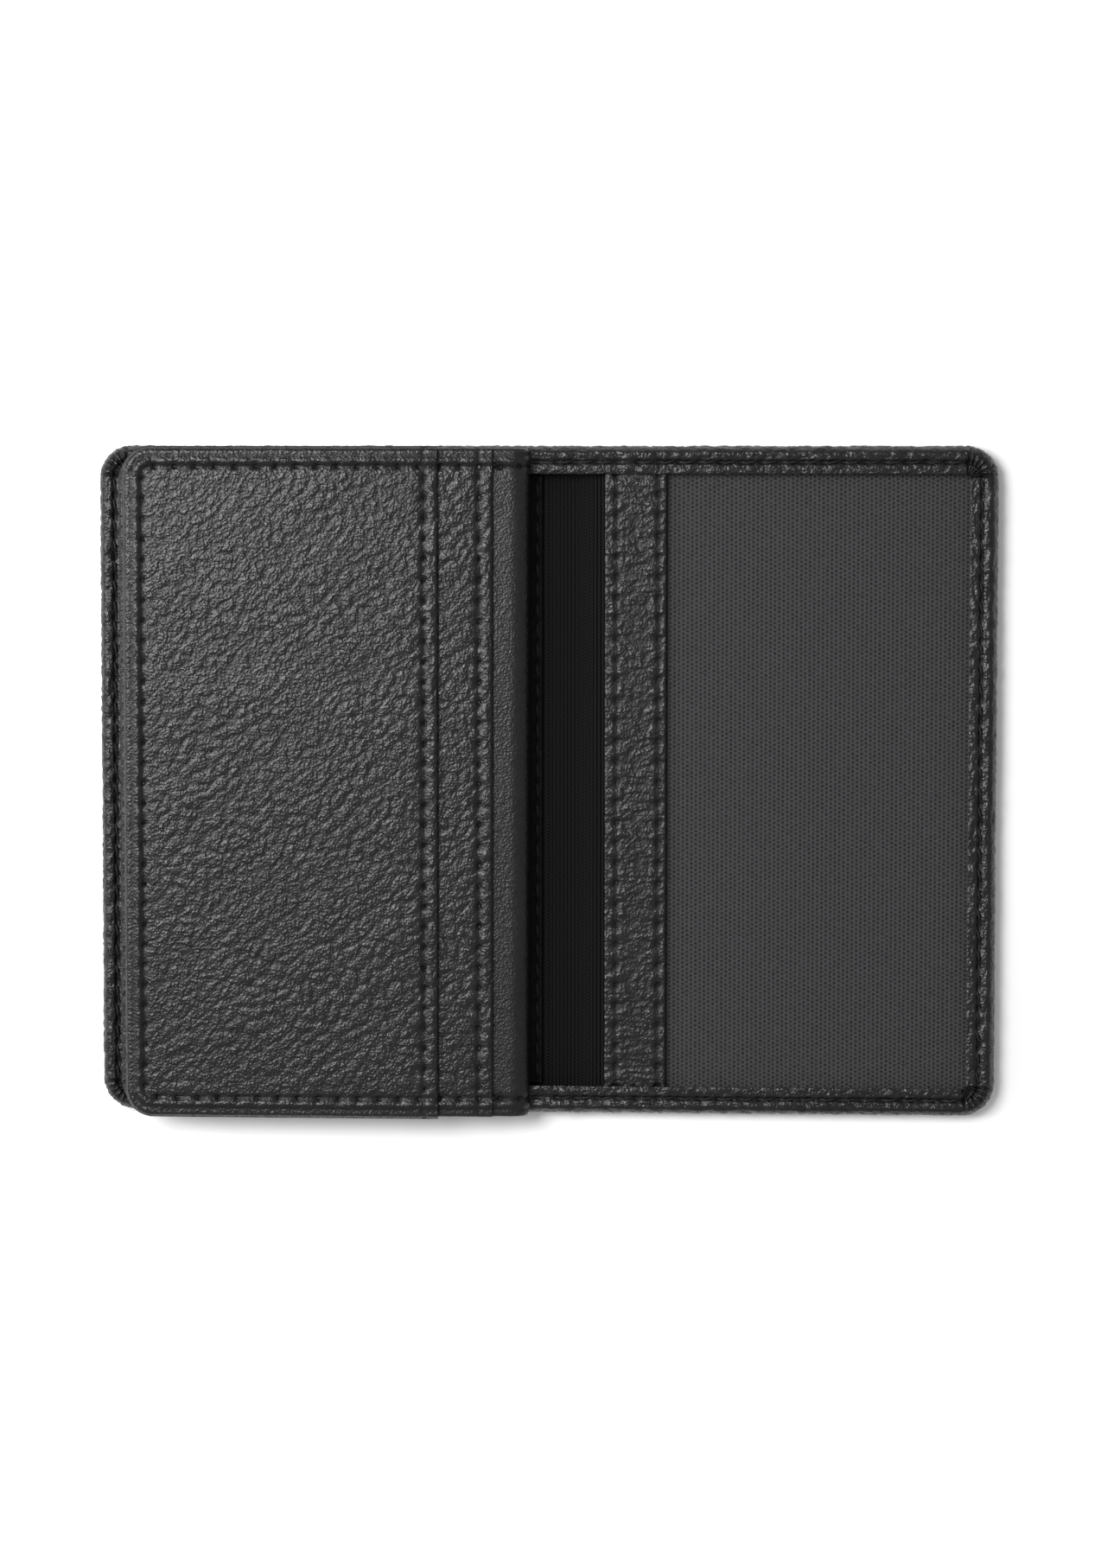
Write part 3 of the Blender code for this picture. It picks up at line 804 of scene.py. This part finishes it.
def lining(side):
    """Twill from the middle of the spine out under the pockets. Only what shows has modelled ribs."""
    name = side_name(side)
    ribbed = np.arange(0, STRIP_LOW[0] + 2, 0.11)
    hidden = np.linspace(STRIP_LOW[0] + 2.5, LINING_HIGH[0], 40)
    xs = np.concatenate([ribbed, hidden])
    ys = lines(LINING_LOW[1], LINING_HIGH[1], 0.7, False, False)
    x, y = cloth_grid(xs, ys)
    step = smooth(x, CREASE - 1.5, CREASE + 1.5)
    z = SPINE_LINING_TOP + (LINING_HIGH[2] - SPINE_LINING_TOP) * step
    z += 0.06 * noise(x, y, 7.0, 41) + 0.025 * np.sin(2 * np.pi * x / TWILL_RIB) - 0.06
    points = np.stack([side * x, y, z], -1).reshape(-1, 3)
    faces = grid_faces(*x.shape)
    if side < 0:
        faces = [face[::-1] for face in faces]
    cloth = mesh_object(name + "_lining_cloth", points, faces, TWILL, sharp=0)
    thicken(cloth, LINING_HIGH[2] - LINING_LOW[2])
    belongs(cloth, bend=cover_bend(side), nodes=[name + "_lining", "spine_lining"])


def thicken(obj, thickness):
    """Gives a cloth its thickness, below its face."""
    solid = obj.modifiers.new("thickness", "SOLIDIFY")
    solid.thickness = thickness * MM
    solid.offset = -1


def pocket_strip(side):
    """Wrinkled strip across a cover, gathered along its two rows of stitches."""
    name = side_name(side)
    low, high = STRIP_LOW.copy(), STRIP_HIGH.copy()
    reach = COVER_HIGH[1] - COVER_BORDER
    rows = {
        "mouth": mirror(stitches_along(straight_route(MOUTH, -reach, reach)), side),
        "window": mirror(stitches_along(straight_route(WINDOW, -reach, reach)), side),
    }
    holes = np.concatenate([row[2] for row in rows.values()])
    if side < 0:
        low[0], high[0] = -high[0], -low[0]

    def relief(x, y, depth):
        near = nearest_hole(x, y, holes)
        lobes = np.zeros_like(x)
        for row in rows.values():
            line = row[2][0, 0]
            lobes += ridge(x, line, 1.5) * (0.5 - 0.5 * np.cos(2 * np.pi * (y - row[2][0, 1]) / PITCH))
        folds = grain(x * 0.42, y, 23, size=1.35, lean=4, stretch=1.2)
        height = 0.75 * folds + 0.3 * np.clip(lobes, 0, 1)
        groove = sum(ridge(x, row[2][0, 0], 0.33) for row in rows.values())
        hole = np.exp(-near / 0.42**2)
        edge = np.minimum(x - low[0], high[0] - x)
        z = high[2] + 0.34 * (height - 0.75) - 0.12 * groove - 0.4 * hole - rounded_rim(edge, 0.35)
        # Shade: painted shade in the grain's folds, the stitch grooves and the stitch holes.
        return z, np.clip(height - 0.5 * groove - 0.9 * hole, 0, 1)

    strip = panel(name + "_strip_leather", low, high, relief, WRINKLED, pitch=0.24)
    belongs(strip, body=name + "_cover", nodes=[name + "_pocket_strip"])
    for place, row in rows.items():
        thread = stitch_row(
            f"{name}_{place}_stitches", row, lambda x, way: high[2] - 0.22, THREADS, 14 * side
        )
        belongs(thread, body=name + "_cover", nodes=[f"{name}_{place}_stitching"])


def window():
    """The grey woven backing behind the clear film."""
    low, high = BACKING_LOW, BACKING_HIGH
    xs, ys = lines(low[0], high[0], 0.6, False, False), lines(low[1], high[1], 0.6, False, False)
    x, y = cloth_grid(xs, ys)
    z = high[2] - 0.03 + 0.025 * noise(x, y, 9.0, 31)
    points = np.stack([x, y, z], -1).reshape(-1, 3)
    cloth = mesh_object("window_weave", points, grid_faces(*x.shape), WEAVE)
    thicken(cloth, high[2] - low[2] - 0.05)
    belongs(cloth, body="right_cover", nodes=["window_backing"])


def left_panel():
    """The leather pocket on the left cover, which the wing hides until it is turned."""

    def relief(x, y, depth):
        height = grain(x, y, 51)
        # The grain's height is also its shade: painted shade in its creases.
        return PANEL_HIGH[2] + PEBBLE_DEPTH * (height - 1), height

    radius = CORNER - (COVER_HIGH[0] + PANEL_LOW[0])
    leather = panel(
        "left_pocket_leather", PANEL_LOW, PANEL_HIGH, relief, PEBBLED,
        ends=("left",), radius=radius, pitch=0.42,
    )
    belongs(leather, body="left_cover", nodes=["left_pocket_panel"])


def wing_rows():
    """The wing's rows of stitches: round the edge, and along each slot."""
    low, high = WING_LOW.copy(), WING_HIGH.copy()
    low[0] = FRONT_LOW[0]
    high[0] = box("wing_edge_stitching")[1][0]
    edge = stitches_along(edge_route(low, high, FRONT_CORNER, "left", WING_INSET))
    bottom, top = low[1] + WING_INSET + PITCH / 2, high[1] - WING_INSET - PITCH / 2
    lines_x = {"a": SLOT_A, "b": SLOT_B}
    slots = {name: stitches_along(straight_route(x, bottom, top)) for name, x in lines_x.items()}
    return edge, slots


EDGE_ROW, SLOT_ROWS = wing_rows()


def wing_edge(x, y, depth):
    """(rise, shade) of the wing's stitched edge: a rolled rim, a puffed border, a groove and holes. The
    shade is painted: a highlight line just in from the rim, a dark band inside it, and shade in the
    groove and holes.
    """
    near = nearest_hole(x, y, EDGE_ROW[2])
    hole, gather = np.exp(-near / HOLE**2), np.exp(-near / PUCKER**2)
    border = hump(depth, 1.2, WING_INSET)
    groove = GROOVE * ridge(depth, WING_INSET, GROOVE_WIDTH)
    rise = 0.24 * border * (1 - 0.7 * gather) - groove - 0.5 * hole
    rise -= 0.14 * ridge(depth, 1.1, 0.2) + 0.08 * gather + 0.6 * rounded_rim(depth, 0.85)
    # Painted shade in the holes, the groove and a band inside the rim, and a painted highlight line near
    # the rim.
    shade = -0.9 * hole - 0.45 * ridge(depth, WING_INSET, 0.24) - 0.5 * ridge(depth, 1.05, 0.25)
    return rise, shade + 0.5 * ridge(depth, 0.45, 0.2)


def slot_row(x, y, line, mouth):
    """(rise, shade) along a slot's stitches and its mouth."""
    near = nearest_hole(x, y, SLOT_ROWS["b" if line == SLOT_B else "a"][2])
    hole, gather = np.exp(-near / HOLE**2), np.exp(-near / PUCKER**2)
    rise = -GROOVE * ridge(x, line, GROOVE_WIDTH) - 0.5 * hole - 0.1 * gather
    rise += 0.1 * hump(x, line + 0.3, mouth) - 0.1 * smooth(x, mouth - 0.25, mouth)
    # Painted shade in the holes and the groove.
    return rise, -0.9 * hole - 0.45 * ridge(x, line, 0.26)


def wing_leaf(name, low, high, line, seed, node_name, ends=(), foot=None):
    """A leaf of grained leather on the wing, with a slot's mouth and stitches at its right end."""
    inside = np.array([FRONT_LOW[0], low[1], 0]), np.array([HINGE_HIGH[0], high[1], 0])

    def relief(x, y, depth):
        rim, _, _ = outline(x, y, *inside, FRONT_CORNER, ("left",))
        height = grain(x, y, seed)
        rise, shade = wing_edge(x, y, rim)
        field = smooth(rim, WING_INSET + 0.2, WING_INSET + 2.2)
        grained = 0.1 + 0.35 * smooth(rim, 0.9, 1.5) + 0.55 * field
        slot_rise, slot_shade = slot_row(x, y, line, high[0])
        fold = ridge(x, line, 0.25) * (1 - field)
        z = high[2] + PEBBLE_DEPTH * grained * (height - 0.6)
        z += rise + slot_rise * field - 0.2 * fold
        # Painted shade in the grain's creases, the stitches and the slot's fold, with the edge's painted
        # highlight.
        return z, np.clip(height + shade + slot_shade * field - 0.6 * fold, 0, 1)

    leaf = panel(name, low, high, relief, PEBBLED, ends=ends, radius=FRONT_CORNER, foot=foot)
    belongs(leaf, body="wing", nodes=[node_name])


def wing_front():
    """The wing's front leaf, turned under at its edge, the slot panel below it, and their stitches."""
    low, high = FRONT_LOW.copy(), FRONT_HIGH.copy()
    foot = low[2]
    low[2] = SLOT_HIGH[2] + 0.15
    wing_leaf("wing_front_leaf", low, high, SLOT_B, 3, "wing_front_leather", ends=("left",), foot=foot)
    wing_leaf("slot_a_leaf", SLOT_LOW, SLOT_HIGH, SLOT_A, 5, "slot_panel")

    def face(x, way):
        top = FRONT_HIGH[2] if x < FRONT_HIGH[0] else SLOT_HIGH[2] if x < SLOT_HIGH[0] else HINGE_HIGH[2]
        return top - 0.3

    edge = stitch_row("wing_edge_stitches", EDGE_ROW, face, THREADS, 14)
    belongs(edge, body="wing", nodes=["wing_edge_stitching"])
    for name, row in SLOT_ROWS.items():
        thread = stitch_row(f"slot_{name}_stitches", row, face, THREADS, 8)
        belongs(thread, body="wing", nodes=[f"slot_{name}_stitching"])


def wing_back():
    """The wing's back leather, turned over its edge below the front leaf, and the stitches behind it."""
    leather = wrapped(
        "wing_back_skin", WING_LOW, WING_HIGH, -1, WING_ROLL, WING_BORDER, WING_INSET + 1.3, EDGE_ROW[2],
        seed=7, open_end=-WING_HIGH[0],
    )
    belongs(leather, body="wing", nodes=["wing_back_leather"])

    def face(x, way):
        return WING_LOW[2] + PEBBLE_DEPTH

    thread = stitch_row("wing_back_stitches", EDGE_ROW, face, THREADS, 12, ways=(-1,))
    belongs(thread, body="wing")


def hinge_strip(outer):
    """Smooth leather from under the last slot, rolling down into the gutter at x = outer."""
    centre_x, centre_z = outer - HINGE_ROLL, HINGE_HIGH[2] - HINGE_RADIUS
    route = [(x, HINGE_HIGH[2]) for x in np.linspace(HINGE_LOW[0], SLOT_HIGH[0] - 1, 12)]
    route += [(x, HINGE_HIGH[2]) for x in np.arange(SLOT_HIGH[0] - 0.7, centre_x - 0.1, 0.3)]
    for angle in np.linspace(90, 0, 14):
        turn = math.radians(angle)
        route.append((centre_x + HINGE_ROLL * math.cos(turn), centre_z + HINGE_RADIUS * math.sin(turn)))
    route.append((outer, COVER_HIGH[2] + 0.45))
    low, high = (FRONT_LOW[0], HINGE_LOW[1]), (0, HINGE_HIGH[1])

    def relief(x, y, along):
        rim, _, _ = outline(x, y, low, high, FRONT_CORNER, ())
        rise, shade = wing_edge(x, y, rim)
        creases = grain(x, y * 0.7, 61, size=1.1, lean=12, stretch=2.0)
        # Painted shade in the creases and along the edge's stitches, and the edge's painted highlight
        # line.
        return rise + 0.05 * (creases - 1), np.clip(0.35 + 0.5 * creases + shade, 0, 1)

    strip = strip_sweep(
        "hinge_strip_leather", route, HINGE_LOW[1], HINGE_HIGH[1], HINGE_LEATHER, relief, SMOOTH
    )
    bend = ("wing_hinge", "wing", (outer, 0, centre_z), (outer - HINGE_RADIUS - 0.6, 0, HINGE_HIGH[2]))
    belongs(strip, bend=bend, nodes=["wing_hinge_strip"])


def hinge_foot(outer):
    """The same leather down the gutter from x = outer, and its foot that is sewn to the spine."""
    radius = 0.9
    centre_x, foot_z = outer + radius, WEB_LOW[2] + 0.7
    route = [(outer, z) for z in np.arange(COVER_HIGH[2] + 0.55, foot_z + radius, -0.2)]
    for angle in np.linspace(180, 270, 9):
        turn = math.radians(angle)
        route.append((centre_x + radius * math.cos(turn), foot_z + radius + radius * math.sin(turn)))
    route.append((WEB_HIGH[0], foot_z))
    row = stitches_along(straight_route(GUTTER, WEB_LOW[1] + 0.5, WEB_HIGH[1] - 0.5))

    def relief(x, y, along):
        creases = grain(along, y * 0.6, 67, size=1.0, lean=85, stretch=1.8)
        hole = np.exp(-nearest_hole(x, y, row[2]) / HOLE**2)
        # Painted shade: the gutter's leather is kept dark overall, darkest in its creases and holes.
        return 0.05 * (creases - 1) - 0.2 * hole, np.clip(0.4 * creases - 0.3 * hole, 0, 1)

    leather = strip_sweep("gutter_leather", route, WEB_LOW[1], WEB_HIGH[1], GUTTER_LEATHER, relief, MATT_PAINTED_SHADE)
    bend = ("spine", "wing_hinge", (centre_x, 0, foot_z), (outer, 0, foot_z + 1.6))
    belongs(leather, bend=bend, nodes=["hinge_web"])
    thread = stitch_row("gutter_stitches", row, lambda x, way: foot_z + 0.02, THREADS, 6)
    belongs(thread, bend=bend, nodes=["gutter_stitching"])


def hinge():
    """The hinge leather. It goes down the gutter a little way in from the end of its CAD node."""
    outer = WEB_HIGH[0] - 1.7
    hinge_strip(outer)
    hinge_foot(outer)


def finish_cad_nodes():
    """Better materials for the CAD nodes that stay: boards, slot liners and the window's film."""
    kept = {"left_board": CARD, "right_board": CARD, "wing_board": CARD}
    kept |= {"slot_a_liner": LINER, "slot_b_liner": LINER, "window_film": FILM}
    for name, material in kept.items():
        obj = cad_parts[name]
        obj.data.materials.clear()
        obj.data.materials.append(material)


# Stage


def softbox(name, place, power, size, aim=(0, 0, 0)):
    """A square area light that faces the wallet. place and size are in metres, and power in watts."""
    light = bpy.data.lights.new(name, "AREA")
    light.energy = power
    light.size = size
    obj = bpy.data.objects.new(name, light)
    obj.location = place
    obj.rotation_euler = (Vector(aim) - Vector(place)).to_track_quat("-Z", "Y").to_euler()
    bpy.context.scene.collection.objects.link(obj)


def stage():
    """A pale floor just below the wallet, and soft studio light from two softboxes and the world."""
    extent, gap = 1.5, 0.00002
    corners = [(-extent, -extent), (extent, -extent), (extent, extent), (-extent, extent)]
    mesh = bpy.data.meshes.new("floor")
    mesh.from_pydata([(x, y, -gap) for x, y in corners], [], [(0, 1, 2, 3)])
    floor = bpy.data.objects.new("floor", mesh)
    bpy.context.scene.collection.objects.link(floor)
    material = new_material("pale_floor", Roughness=0.7, Specular_IOR_Level=0.2, Base_Color=grey(0.9))[0]
    mesh.materials.append(material)

    world = bpy.data.worlds.new("studio")
    bpy.context.scene.world = world
    world.use_nodes = True
    background = world.node_tree.nodes["Background"]
    background.inputs["Color"].default_value = grey(1.0)
    background.inputs["Strength"].default_value = 0.5
    softbox("key", (-0.26, 0.16, 0.56), 3.8, 0.28)
    softbox("side", (-0.6, 0.1, 0.35), 1.6, 0.25)
    bpy.context.scene.view_settings.view_transform = "Standard"


def camera():
    """Almost overhead, with a long lens."""
    data = bpy.data.cameras.new("camera")
    data.lens = 95.9
    obj = bpy.data.objects.new("camera", data)
    obj.location = (0.0351, 0.0423, 0.6164)
    obj.rotation_euler = (math.radians(-3.976), math.radians(3.089), 0.001)
    bpy.context.scene.collection.objects.link(obj)
    bpy.context.scene.camera = obj


def main():
    camera()
    stage()
    for side in (-1, 1):
        cover_leather(side)
        lining(side)
        pocket_strip(side)
    window()
    left_panel()
    wing_front()
    wing_back()
    hinge()
    finish_cad_nodes()


main()
bpy.context.view_layer.update()
